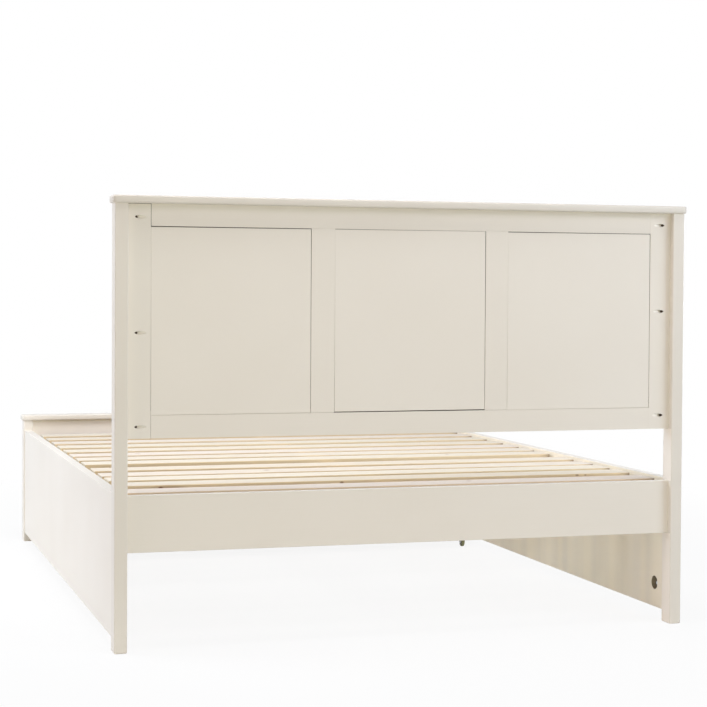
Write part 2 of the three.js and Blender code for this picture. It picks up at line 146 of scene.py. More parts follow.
# A tall head on a broad washer, with a round socket
WASHER_OUTLINE = (
    (0.98, 0.0), (1.0, 0.06), (0.98, 0.40), (0.82, 0.52),
    (0.70, 0.90), (0.58, 1.0), (0.30, 1.0), (0.282, 0.62),
)
# The domed end of a castor's axle, in mm
RIVET_OUTLINE = ((4.6, 0.0), (4.8, 0.5), (4.4, 1.1), (3.3, 1.7), (1.6, 2.05), (0.4, 2.1))
HEAD_SIDES = 16

# Screws along each ledge, the brackets' plate and how far in from its edges its screws are, and where the
# castor forks take their rivets and screws, from the wheel's middle
LEDGE_SCREWS = 7
LEDGE_SCREW_SPACING = 0.3
BRACKET_PLATE = 3 * MM
BRACKET_SCREW_X = 12 * MM
BRACKET_SCREW_Z = 16 * MM
CHEEK_FACE = 8 * MM
FORK_PLATE = 2 * MM
FORK_SCREW_X = 12 * MM
FORK_SCREW_Y = 14.5 * MM

# The floor is a disc with an outer ring, in metres
FLOOR_RADIUS = 14
FLOOR_RIM = 2.0

# Lamps: place, the point that each faces, width and height, all in metres, and the light's tint
COOL = (0.78, 0.88, 1.0)
WARM = (1.0, 0.79, 0.77)
YELLOW = (1.0, 0.98, 0.70)
PINK = (1.0, 0.84, 0.94)
WHITE = (0.94, 0.95, 1.0)
LAMPS = {
    "window": ((4.6, -1.6, 3.2), (0.8, -0.2, 0.4), (3.0, 2.4), COOL),
    "far": ((8.5, 2.5, 2.2), (0.4, 0.0, 0.4), (4.0, 3.0), WARM),
    "low": ((1.5, 7.0, 0.5), (0.0, 0.0, 0.4), (3.0, 0.9), YELLOW),
    "high": ((-2.0, 5.6, 4.2), (0.0, 1.0, 0.6), (3.0, 2.4), PINK),
    "side": ((-3.2, 3.2, 2.2), (-0.2, 1.0, 0.6), (2.0, 2.0), COOL),
    "ceiling": ((0.6, 1.0, 3.4), (0.1, -1.0, 0.4), (1.8, 1.8), WHITE),
    "foot": ((-5.4, -5.0, 0.9), (0.0, -0.3, 0.6), (3.0, 1.2), WHITE),
}
# How wide the ceiling lamp's light opens, in degrees
CEILING_SPREAD = 110


def linear(hex_colour):
    """Turns an sRGB hex value, such as 0xE8E0D2, into linear red, green and blue."""
    channels = [(hex_colour >> shift & 0xFF) / 255 for shift in (16, 8, 0)]
    return tuple(c / 12.92 if c <= 0.04045 else ((c + 0.055) / 1.055) ** 2.4 for c in channels)


def colour_property(name, description, hex_colour):
    return bpy.props.FloatVectorProperty(
        name=name, description=description, subtype="COLOR", size=3, min=0, max=1, default=linear(hex_colour)
    )


def length_property(name, description, metres):
    return bpy.props.FloatProperty(
        name=name, description=description, unit="LENGTH", min=0, precision=4, default=metres
    )


def power_property(name, description, watts):
    return bpy.props.FloatProperty(name=name, description=description, unit="POWER", min=0, default=watts)


class BedColours(bpy.types.PropertyGroup):
    """Colours of the bed's finishes."""

    lacquer: colour_property("Lacquer", "Ivory satin lacquer on every painted board", 0xE9E3D8)
    lacquer_shade: colour_property("Lacquer shade", "Where the lacquer lies thin over the grain", 0xDDD5C7)
    # Painted light: a paler coat on the walls of the headboard's screw pockets, against their shade
    pocket_wall_painted_light: colour_property("Pooled lacquer", "Thick coat in the headboard's screw pockets", 0xF0EADF)
    # Painted light: a paler, warmer coat in upright bands on the side panels' inner faces, like light between
    # the slats
    side_band_painted_light: colour_property("Rolled lacquer", "Warmer coat inside the side panels", 0xFAF1DD)
    # Painted light: a paler coat on the posts' inner faces below the headboard, off the head rail
    low_post_painted_light: colour_property("Full lacquer", "Fuller coat on the posts' inner faces, low down", 0xF6EFE4)
    raw_board: colour_property("Raw board", "Bored board that the lacquer does not reach", 0xA89A84)
    # Bare board deep in the headboard's joints, darkened further as painted shade, and the stile's painted
    # shade lines
    joint_shade: colour_property("Joint shade", "Bare board deep in the headboard's joints", 0x5A4C3E)
    pine_early: colour_property("Pine earlywood", "Pale wood between the rings", 0xF5EDDD)
    pine_late: colour_property("Pine latewood", "Darker wood of the rings", 0xE6D0AC)
    pine_sawn: colour_property("Sawn pine", "Sawn edges of the slats", 0xF0D8AC)
    # Painted shade: the slats' sawn edges darken close to their left ends, where they meet the ledges
    pine_dirt: colour_property("Dirty pine", "Edges of the slats close to their left ends", 0x735D43)
    pine_knot: colour_property("Pine knot", "Knots in the slats", 0x8A5A38)
    birch_face: colour_property("Birch face", "Face veneer of the drawer's plywood", 0xE6CFA9)
    birch_core: colour_property("Birch core", "Plies that run across the face veneer", 0xB98D5F)
    zinc: colour_property("Zinc", "Zinc plating on the steel fittings", 0xC4C7CA)
    black_oxide: colour_property("Black oxide", "Blackened screws in the headboard", 0x33261C)
    tyre: colour_property("Tyre", "Tread of the castor wheels", 0x8A8B6C)
    hub: colour_property("Hub", "Moulded hub of the castor wheels", 0x8E9080)


class BedFittings(bpy.types.PropertyGroup):
    """Sizes of the fittings that are modelled here."""

    cap_corner: length_property("Cap corner", "Corner radius of the capping boards, seen from above", 12 * MM)
    cap_arris: length_property("Cap arris", "Radius of the capping boards' long edges", 4.5 * MM)
    knob_radius: length_property("Knob radius", "Radius of the drawer knobs", 16 * MM)
    knob_length: length_property("Knob length", "How far the drawer knobs stand out", 24 * MM)
    wheel_radius: length_property("Wheel radius", "Radius of the castor wheels", 18 * MM)
    wheel_width: length_property("Wheel width", "Width of the castor wheels", 10 * MM)
    pocket_head: length_property("Pocket screw", "Radius of the screw heads in the headboard", 4.3 * MM)
    pocket_rise: length_property("Pocket screw height", "Height of those heads", 8 * MM)
    small_head: length_property("Small screw", "Radius of the screw heads in brackets and plates", 2.8 * MM)


class BedStudio(bpy.types.PropertyGroup):
    """Lamps and room."""

    window: power_property("Window lamp", "Cool soft lamp high at the bed's right, the picture's left", 187)
    far: power_property("Far lamp", "Warm soft lamp, far off at the picture's left", 150)
    low: power_property("Low lamp", "Warm soft lamp near the floor, behind the camera", 90)
    high: power_property("High lamp", "Soft lamp over the camera's right shoulder", 61)
    side: power_property("Side lamp", "Cool soft lamp at the picture's right, near the headboard", 77)
    ceiling: power_property("Ceiling lamp", "Small soft lamp over the slats, turned to the footboard", 40)
    foot: power_property("Foot lamp", "Low soft lamp beyond the foot end, for the sides that face away", 170)
    floor: colour_property("Floor", "Pale floor", 0xF2F1EF)


def deselect_all():
    if bpy.context.mode != "OBJECT":
        bpy.ops.object.mode_set(mode="OBJECT")
    bpy.ops.object.select_all(action="DESELECT")


def select_only(piece):
    deselect_all()
    piece.select_set(True)
    bpy.context.view_layer.objects.active = piece


def begin_edit(piece, kind, action="DESELECT"):
    """Goes into edit mode on one piece, to pick vertices, edges or faces."""
    select_only(piece)
    bpy.ops.object.mode_set(mode="EDIT")
    bpy.ops.mesh.select_mode(type=kind)
    bpy.ops.mesh.select_all(action=action)


def pick(piece, kind, wanted):
    """Selects the edges or faces that pass a test, and only those, in edit mode."""
    mesh = bmesh.from_edit_mesh(piece.data)
    for item in getattr(mesh, kind):
        item.select_set(wanted(item))
    bmesh.update_edit_mesh(piece.data)


def end_edit():
    bpy.ops.mesh.select_all(action="SELECT")
    bpy.ops.mesh.remove_doubles(threshold=0.005 * MM)
    bpy.ops.mesh.normals_make_consistent(inside=False)
    bpy.ops.object.mode_set(mode="OBJECT")


def apply_place(piece):
    """Moves a piece's place, turn and size into its mesh."""
    select_only(piece)
    bpy.ops.object.transform_apply(location=True, rotation=True, scale=True)


def smooth(piece, degrees):
    select_only(piece)
    bpy.ops.object.shade_smooth_by_angle(angle=math.radians(degrees))


def rename(piece, name):
    piece.name = name
    piece.data.name = name


def discard(*pieces):
    for piece in pieces:
        bpy.data.objects.remove(piece, do_unlink=True)


def dress(material, *node_names):
    """Gives CAD nodes their finish."""
    for name in node_names:
        data = NODES[name].data
        data.materials.clear()
        data.materials.append(material)


def finish_piece(piece, material, body):
    """Gives a new piece its finish and its body."""
    piece.data.materials.clear()
    piece.data.materials.append(material)
    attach(piece, body)


def copy_to(piece, name, turn):
    """A copy with a mesh of its own, placed by a matrix."""
    twin = piece.copy()
    twin.data = piece.data.copy()
    rename(twin, name)
    bpy.context.scene.collection.objects.link(twin)
    twin.data.transform(turn)
    return twin


def join_pieces(pieces, name):
    """Joins pieces into the first one."""
    select_only(pieces[0])
    for piece in pieces:
        piece.select_set(True)
    bpy.ops.object.join()
    rename(pieces[0], name)
    return pieces[0]


def middle_of(node_name):
    """The middle of a CAD node's box."""
    low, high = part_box(node_name)
    return (low + high) / 2


def facing(direction, place):
    """Turns a piece that was made along +Z to point along a direction, at a place."""
    turn = Vector((0, 0, 1)).rotation_difference(Vector(direction).normalized())
    return Matrix.Translation(Vector(place)) @ turn.to_matrix().to_4x4()


def spread(piece, places, direction, name):
    """Copies a fitting made along +Z to several places, and joins the copies into one piece."""
    copies = []
    for index, place in enumerate(places):
        copies.append(copy_to(piece, f"{name}_{index}", facing(direction, place)))
    return join_pieces(copies, name)


def turned(name, outline, radius, length, sides):
    """A round solid along +Z, drawn up ring by ring from its foot. Its outline lists shares of its radius
    and of its length."""
    deselect_all()
    rings = [(share * radius, rise * length) for share, rise in outline]
    bpy.ops.mesh.primitive_circle_add(
        vertices=sides, radius=rings[0][0], fill_type="NGON", location=(0, 0, rings[0][1])
    )
    piece = bpy.context.object
    rename(piece, name)
    apply_place(piece)
    begin_edit(piece, "FACE", "SELECT")
    for (reach, height), (next_reach, next_height) in zip(rings, rings[1:]):
        bpy.ops.mesh.extrude_region_move(TRANSFORM_OT_translate={"value": (0, 0, next_height - height)})
        ratio = next_reach / reach
        bpy.ops.transform.resize(value=(ratio, ratio, 1), center_override=(0, 0, next_height))
    end_edit()
    return piece


def cut_cross(piece, top, outer, inner, depth, sides):
    """Sinks a cross into a round head: its middle and the four faces at right angles round it."""
    begin_edit(piece, "FACE")
    step = math.tau / sides

    def wanted(face):
        centre = face.calc_center_median()
        reach = math.hypot(centre.x, centre.y)
        if face.normal.z < 0.7 or abs(centre.z - top) > 0.2 * MM or reach > outer:
            return False
        if reach < 0.3 * inner:
            return True
        turn = (math.atan2(centre.y, centre.x) - step / 2) % (math.pi / 2)
        return min(turn, math.pi / 2 - turn) < step / 4

    pick(piece, "faces", wanted)
    bpy.ops.mesh.extrude_region_move(TRANSFORM_OT_translate={"value": (0, 0, -depth)})
    bpy.ops.transform.resize(value=(0.8, 0.8, 1), center_override=(0, 0, top - depth))
    end_edit()


def pan_head(name, radius):
    """A pan head with a cross recess, standing on z = 0 and made along +Z."""
    head = turned(name, PAN_OUTLINE, radius, radius, HEAD_SIDES)
    (cross, rise), (centre, _) = PAN_OUTLINE[-2:]
    cut_cross(head, rise * radius, cross * radius, centre * radius, 0.4 * radius, HEAD_SIDES)
    smooth(head, 40)
    return head


def feed(node, inputs):
    """Sets inputs of a node, in the order of its sockets, or by their names or numbers. Each is a value, a
    colour, a socket, or another node, whose first socket in use feeds it."""
    named = inputs if isinstance(inputs, dict) else dict(enumerate(inputs))
    for key, value in named.items():
        socket = node.inputs[key]
        if isinstance(value, bpy.types.Node):
            value = next(output for output in value.outputs if output.enabled)
        if isinstance(value, bpy.types.NodeSocket):
            node.id_data.links.new(value, socket)
        elif socket.type == "RGBA":
            socket.default_value = (*value, 1)
        else:
            socket.default_value = value


def add_node(tree, kind, inputs=(), **settings):
    """Adds a node with its settings and links."""
    node = tree.nodes.new(f"ShaderNode{kind}")
    for key, value in settings.items():
        setattr(node, key, value)
    feed(node, inputs)
    return node


def start_material(name):
    """A new material, what adds nodes to it, its shader and the Object coordinates of its patterns."""
    material = bpy.data.materials.new(name)
    material.use_nodes = True
    tree = material.node_tree
    add = partial(add_node, tree)
    return material, add, tree.nodes["Principled BSDF"], add("TexCoord").outputs["Object"]


def shaded(colour, *tone):
    """A colour times one tone, or times three, one for each channel."""
    tones = tone * 3 if len(tone) == 1 else tone
    return tuple(channel * share for channel, share in zip(colour, tones))


def pattern(add, place, counts, detail=2.0, roughness=0.5, shift=(0, 0, 0)):
    """Uneven grains, so many to the metre along each axis."""
    mapping = add("Mapping", {"Vector": place, "Location": shift, "Scale": counts})
    return add("TexNoise", {"Vector": mapping, "Scale": 1.0, "Detail": detail, "Roughness": roughness})


def counts_along(axis, width, length):
    """How many grains of one width and length lie in a metre, for a board that runs along an axis."""
    counts = [1 / width] * 3
    counts[axis] = 1 / length
    return counts


def all_of(add, first, *others):
    """The product of masks: 1 where each is 1, and 0 where one is 0."""
    for other in others:
        first = add("Math", (first, other), operation="MULTIPLY")
    return first


def between(add, value, low, high):
    """1 where the value lies between two limits, else 0."""
    above = add("Math", (value, low), operation="GREATER_THAN")
    below = add("Math", (value, high), operation="LESS_THAN")
    return all_of(add, above, below)


def coordinates(add, place):
    """A place's three coordinates, and how far it is from the bed's middle plane."""
    x, y, z = add("SeparateXYZ", (place,)).outputs
    return x, y, z, add("Math", (x,), operation="ABSOLUTE")


def bolt_pocket_mask(add, place):
    """1 on the walls and floors of the side panels' round bolt pockets."""
    _, y, z, reach = coordinates(add, place)
    length = add("Math", (y,), operation="ABSOLUTE")
    along = add("Math", (length, BOLT_POCKET_Y), operation="SUBTRACT")
    height = add("Math", (z, BOLT_POCKET_MIDDLE_Z), operation="SUBTRACT")
    from_middle = add("Math", (height,), operation="ABSOLUTE")
    rise = add("Math", (from_middle, BOLT_POCKET_HALF_RISE), operation="SUBTRACT")
    from_axis = add("VectorMath", (add("CombineXYZ", (along, rise)),), operation="LENGTH")
    near = add("Math", (from_axis, BOLT_POCKET_RADIUS + SKIN), operation="LESS_THAN")
    deep = between(add, reach, SIDE_INNER + SKIN, SIDE_INNER + BOLT_POCKET_DEPTH)
    return all_of(add, near, deep)


def panel_joint_shade_mask(add, place):
    """1 deep in the joints round the headboard's panels, where bare board is darkened further as painted
    shade.
    Beside the outer panels it begins 11 mm over the opening's foot.
    """
    x, y, z, reach = coordinates(add, place)
    deep = between(add, y, STILE_MIDDLE_Y, STILE_BACK - JOINT_PAINT_DEPTH)
    middle = add("Math", (reach, MULLION_INNER + JOINT_WIDTH), operation="LESS_THAN")
    lowest = add("Math", (middle, MIDDLE_JOINT_FOOT - OUTER_JOINT_FOOT, OPENING_BOTTOM + OUTER_JOINT_FOOT),
                 operation="MULTIPLY_ADD")
    above = add("Math", (z, lowest), operation="GREATER_THAN")
    below = add("Math", (z, OPENING_TOP + JOINT_WIDTH), operation="LESS_THAN")
    inside = add("Math", (reach, STILE_INNER + JOINT_WIDTH), operation="LESS_THAN")
    joints = all_of(add, above, below, inside, deep)
    return add("Math", (joints, stile_shade_line_mask(add, x, y, z)), operation="MAXIMUM")


def stile_shade_line_mask(add, x, y, z):
    """1 where the right stile meets the top rail and the cap: a painted shade line about 1 mm wide on the
    stile's face, in the seam.
    """
    beside = between(add, x, STILE_INNER - SEAM_HALF_WIDTH, STILE_INNER + SEAM_HALF_WIDTH)
    over_panels = add("Math", (z, OPENING_TOP), operation="GREATER_THAN")
    upright = all_of(add, beside, over_panels)
    top = between(add, z, STILE_TOP - TOP_SEAM_HEIGHT, STILE_TOP + 0.1 * MM)
    on_stile = between(add, x, STILE_INNER, POST_INNER)
    across = all_of(add, top, on_stile)
    seam = add("Math", (upright, across), operation="MAXIMUM")
    behind = add("Math", (y, STILE_MIDDLE_Y), operation="GREATER_THAN")
    return all_of(add, seam, behind)


def pocket_wall_light_mask(add, place):
    """1 on the walls of the angled screw pockets in the stiles, where a paler coat is painted light against
    their shade.
    """
    _, y, _, reach = coordinates(add, place)
    along = between(add, reach, POST_INNER - POCKET_WALLS_FAR, POST_INNER - POCKET_WALLS_NEAR)
    under = between(add, y, STILE_MIDDLE_Y, STILE_BACK - POCKET_WALLS_DEEP)
    return all_of(add, along, under)


def side_band_light_mask(add, place):
    """On the side panels' inner faces: 1 in soft upright bands about 70 mm wide, and 0.55 between them. A
    paler, warmer coat there is painted light, in bands like light falling between the slats.
    """
    reach = coordinates(add, place)[3]
    inner = between(add, reach, SIDE_INNER - SKIN, SIDE_INNER + SKIN)
    bands = add("MapRange", (pattern(add, place, (1.0, 14.0, 0.4), 1.5), 0.36, 0.62, 0.55, 1.0))
    return all_of(add, inner, bands)


def low_post_light_mask(add, place):
    """1 on the posts' inner faces below the headboard, over and under the head rail, where a paler coat is
    painted light.
    """
    _, _, z, reach = coordinates(add, place)
    inner = between(add, reach, POST_INNER - SKIN, POST_INNER + SKIN)
    over = between(add, z, RAIL_TOP, HEADBOARD_BOTTOM)
    under = add("Math", (z, RAIL_BOTTOM), operation="LESS_THAN")
    clear = add("Math", (over, under), operation="MAXIMUM")
    return all_of(add, inner, clear)


def lacquer(board, axis, colours, grain, tone=1.0, bare_and_shade=None, painted_light=None):
    """Satin lacquer, sprayed and left to flow out. It gives a soft sheen with a faint orange peel.
    Over pine, grain is 1 and the wood's fibres still show through. Over fibreboard it is 0. Tone is how pale
    the lacquer is made; on the foot rail it is painted light. The last two arguments are each a mask and its
    colour: where the spray did not reach the board, darkened further as painted shade in the headboard's
    joints, and painted light, a paler coat in the screw pockets, in bands inside the side panels, and low on
    the posts."""
    material, add, shader, place = start_material(f"satin_lacquer_on_{board}")
    # Fibres are about 3 mm wide to show in the render, and 220 mm long
    fibres = pattern(add, place, counts_along(axis, 3 * MM, 220 * MM), 3.0, 0.6)
    # Coats differ softly over about 300 mm, and orange peel has pits of about 2 mm
    coats = pattern(add, place, (3.3, 3.3, 3.3), 1.0)
    peel = pattern(add, place, (500, 500, 500), 1.0)
    uneven = add("Math", (coats, 0.5), operation="MULTIPLY")
    thin = add("Math", (fibres, 0.22 * grain, uneven), operation="MULTIPLY_ADD")
    thick_coat = shaded(colours.lacquer, tone)
    thin_coat = shaded(colours.lacquer_shade, tone)
    colour = add("Mix", {0: thin, FIRST: thick_coat, SECOND: thin_coat}, data_type="RGBA")
    sheen = add("MapRange", (coats, 0.3, 0.7, 0.40, 0.48))
    # Painted light: a paler coat laid over the mask
    if painted_light is not None:
        light_mask, light_colour = painted_light
        lit = light_mask(add, place)
        colour = add("Mix", {0: lit, FIRST: colour, SECOND: light_colour}, data_type="RGBA")
    # Bare board where the spray did not reach, which in the headboard's joints is darkened further as painted
    # shade
    if bare_and_shade is not None:
        bare_and_shade_mask, bare_and_shade_colour = bare_and_shade
        mask = bare_and_shade_mask(add, place)
        # Torn fibres of about 1.4 mm
        chips = pattern(add, place, (700, 700, 700), 3.0, 0.7)
        torn = {0: chips, FIRST: shaded(bare_and_shade_colour, 0.6), SECOND: bare_and_shade_colour}
        raw_and_shade = add("Mix", torn, data_type="RGBA")
        colour = add("Mix", {0: mask, FIRST: colour, SECOND: raw_and_shade}, data_type="RGBA")
        dry = add("Math", (mask, 0.85), operation="MULTIPLY")
        sheen = add("Math", (sheen, dry), operation="MAXIMUM")
    pits = add("Math", (peel, 0.35), operation="MULTIPLY")
    height = add("Math", (fibres, 1.4 * grain, pits), operation="MULTIPLY_ADD")
    relief = add("Bump", {"Height": height, "Strength": 0.35, "Distance": 0.12 * MM})
    feed(shader, {"Base Color": colour, "Roughness": sheen, "Normal": relief, "IOR": 1.49})
    return material


def pine_rings(add, place, axis, pith, shift):
    """The darker latewood of the growth rings round the pith, drawn out along the board. The rings are
    about 3.4 mm apart, wider than most, so that they show."""
    centre = [-value for value in pith]
    centre[axis] = shift
    stretch = [1.0, 1.0, 1.0]
    stretch[axis] = 0.035
    board = add("Mapping", {"Vector": place, "Location": centre, "Scale": stretch})
    rings = add("TexWave", {
        "Vector": board, "Scale": 92, "Distortion": 7.0, "Detail": 1.5,
        "Detail Scale": 0.12, "Detail Roughness": 0.5,
    }, wave_type="RINGS", rings_direction="XYZ"[axis], wave_profile="SAW").outputs["Fac"]
    return add("MapRange", (rings, 0.35, 1.0, 0.0, 1.0))


def knot_mask(add, place, knots):
    """How dark the knots and stains are: darkest in their middles, and nothing past their rims."""
    total = None
    for middle, half_size, darkness in knots:
        inverse = [1 / (size * MM) for size in half_size]
        offset = [-spot * scale for spot, scale in zip(middle, inverse)]
        local = add("Mapping", {"Vector": place, "Location": offset, "Scale": inverse})
        reach = add("VectorMath", (local,), operation="LENGTH")
        mask = add("MapRange", (reach, 1.2, 0.5, 0.0, darkness))
        total = mask if total is None else add("Math", (total, mask), operation="MAXIMUM")
    return total


def sawn_edges(add, place, face, sawn_colour, end_shade_colour, middle, half_width, half_length):
    """The long edges of a slat, which are only sawn. Over the last 60 mm at the left end they darken: painted
    shade where the slat's end meets its ledge and the side panel.
    """
    x, y, _ = add("SeparateXYZ", (place,)).outputs
    across = add("Math", (y, middle), operation="SUBTRACT")
    from_middle = add("Math", (across,), operation="ABSOLUTE")
    sawn = add("MapRange", (from_middle, half_width - 1.2 * MM, half_width - 0.4 * MM, 0.0, 0.8))
    from_end = add("Math", (x, -1.0, -half_length), operation="MULTIPLY_ADD")
    # Painted shade, darkest at the slat's left end
    end_shade_share = add("MapRange", (from_end, -60 * MM, -4 * MM, 0.0, 0.95))
    end_shade = add("Math", (end_shade_share, 3.0), operation="POWER")
    edge = add("Mix", {0: end_shade, FIRST: sawn_colour, SECOND: end_shade_colour}, data_type="RGBA")
    return add("Mix", {0: sawn, FIRST: face, SECOND: edge}, data_type="RGBA")


def pine(board, axis, colours, pith, shift, tone, knots=(), edges=None):
    """Planed pine, left bare. Pale earlywood lies between darker rings, which run out into long arches
    where the board was cut flat to the rings. Knots are ovals of dark wood. Shift moves the pattern, so that
    no two boards are alike. A slat gives as its edges its middle, half its width and half its length."""
    material, add, shader, place = start_material(f"planed_pine_{board}")
    late = pine_rings(add, place, axis, pith, shift)
    # Fibres are about 1.6 mm wide, and the wood's colour drifts over 60 mm across and 500 mm along
    fibres = pattern(add, place, counts_along(axis, 1.6 * MM, 90 * MM), 2.0, 0.6, (shift, shift, 0))
    cloud = pattern(add, place, counts_along(axis, 60 * MM, 500 * MM), 1.0, 0.5, (shift, 0, shift))
    dark = add("Math", (fibres, 0.3), operation="MULTIPLY")
    dark = add("Math", (late, 0.42, dark), operation="MULTIPLY_ADD")
    dark = add("Math", (cloud, 0.35, dark), operation="MULTIPLY_ADD")
    dark = add("Math", (dark, 0.2), operation="SUBTRACT")
    early_colour = shaded(colours.pine_early, *tone)
    late_colour = shaded(colours.pine_late, *tone)
    colour = add("Mix", {0: dark, FIRST: early_colour, SECOND: late_colour}, data_type="RGBA")
    if edges is not None:
        sawn_colour = shaded(colours.pine_sawn, *tone)
        colour = sawn_edges(add, place, colour, sawn_colour, colours.pine_dirt, *edges)
    if knots:
        knotted = knot_mask(add, place, knots)
        colour = add("Mix", {0: knotted, FIRST: colour, SECOND: colours.pine_knot}, data_type="RGBA")
    sheen = add("MapRange", (fibres, 0.2, 0.8, 0.62, 0.76))
    height = add("Math", (late, 0.6, fibres), operation="MULTIPLY_ADD")
    relief = add("Bump", {"Height": height, "Strength": 0.3, "Distance": 0.1 * MM})
    feed(shader, {"Base Color": colour, "Roughness": sheen, "Normal": relief, "IOR": 1.45})
    return material


def birch_plywood(board, layer_axis, grain_axis, first_layer, colours):
    """Birch plywood, sanded. Its faces are pale with fine short grain, and its edges show the plies,
    which turn from light to dark as their fibres run along or across."""
    material, add, shader, place = start_material(f"birch_plywood_{board}")
    across = add("SeparateXYZ", (place,)).outputs[layer_axis]
    # A ply is 1.5 mm thick, and light and dark plies alternate
    from_face = add("Math", (across, first_layer), operation="SUBTRACT")
    pairs = add("Math", (from_face, 3 * MM), operation="DIVIDE")
    in_pair = add("Math", (pairs,), operation="FRACT")
    ply = add("Math", (in_pair, 0.52), operation="GREATER_THAN")
    # Fibres are 0.9 mm wide and 24 mm long, and clouds 25 by 160 mm
    fibres = pattern(add, place, counts_along(grain_axis, 0.9 * MM, 24 * MM), 2.0, 0.6)
    cloud = pattern(add, place, counts_along(grain_axis, 25 * MM, 160 * MM), 2.0)
    dark = add("Math", (cloud, 0.25), operation="MULTIPLY")
    dark = add("Math", (fibres, 0.3, dark), operation="MULTIPLY_ADD")
    face_colours = {0: dark, FIRST: colours.birch_face, SECOND: colours.birch_core}
    face = add("Mix", face_colours, data_type="RGBA")
    layer = add("Math", (ply, 0.75), operation="MULTIPLY")
    colour = add("Mix", {0: layer, FIRST: face, SECOND: colours.birch_core}, data_type="RGBA")
    sheen = add("MapRange", (cloud, 0.3, 0.7, 0.5, 0.62))
    relief = add("Bump", {"Height": fibres, "Strength": 0.25, "Distance": 0.08 * MM})
    feed(shader, {"Base Color": colour, "Roughness": sheen, "Normal": relief, "IOR": 1.45})
    return material


def zinc_plate(piece_name, colours):
    """Bright zinc plating on pressed steel. It is a metal, with a blurred sheen that the plating bath
    left slightly cloudy, and it keeps the default IOR."""
    material, add, shader, place = start_material(f"zinc_plated_{piece_name}")
    # Clouds of the plating are about 5 mm across, and drawing lines are finer than 1 mm
    cloud = pattern(add, place, (200, 200, 200), 3.0, 0.6)
    lines = pattern(add, place, (1500, 1500, 120), 1.0)
    clouded = {0: cloud, FIRST: shaded(colours.zinc, 0.82), SECOND: colours.zinc}
    colour = add("Mix", clouded, data_type="RGBA")
    sheen = add("MapRange", (cloud, 0.3, 0.7, 0.3, 0.46))
    relief = add("Bump", {"Height": lines, "Strength": 0.15, "Distance": 0.03 * MM})
    feed(shader, {"Base Color": colour, "Roughness": sheen, "Normal": relief, "Metallic": 1.0})
    return material


def black_oxide(name, colours):
    """Black oxide on hardened screws, dry and a little oily, nearly without sheen. It is worn paler in
    spots of about 1 mm."""
    material, add, shader, place = start_material(name)
    cloud = pattern(add, place, (900, 900, 900), 2.0)
    worn = {0: cloud, FIRST: colours.black_oxide, SECOND: shaded(colours.black_oxide, 2.2)}
    colour = add("Mix", worn, data_type="RGBA")
    sheen = add("MapRange", (cloud, 0.3, 0.7, 0.45, 0.6))
    feed(shader, {"Base Color": colour, "Roughness": sheen, "Metallic": 0.4})
    return material


def moulded(name, tint, low_rough, high_rough):
    """Moulded plastic or rubber, with the fine matt texture of its mould and paler scuffs."""
    material, add, shader, place = start_material(name)
    # Mould texture of 1 mm, and scuffs of about 8 mm
    grit = pattern(add, place, (1000, 1000, 1000), 2.0)
    scuffs = pattern(add, place, (120, 120, 120), 3.0, 0.65)
    paler = tuple(min(1.0, 1.35 * channel + 0.01) for channel in tint)
    colour = add("Mix", {0: scuffs, FIRST: tint, SECOND: paler}, data_type="RGBA")
    sheen = add("MapRange", (scuffs, 0.3, 0.7, low_rough, high_rough))
    relief = add("Bump", {"Height": grit, "Strength": 0.3, "Distance": 0.05 * MM})
    feed(shader, {"Base Color": colour, "Roughness": sheen, "Normal": relief})
    return material


def seen_directly(add):
    """1 for the rays of the camera and of mirrors and glass, and 0 for those that light the bed."""
    rays = add("LightPath").outputs
    seen = add("Math", (rays["Is Camera Ray"], rays["Is Glossy Ray"]), operation="MAXIMUM")
    return add("Math", (seen, rays["Is Transmission Ray"]), operation="MAXIMUM")


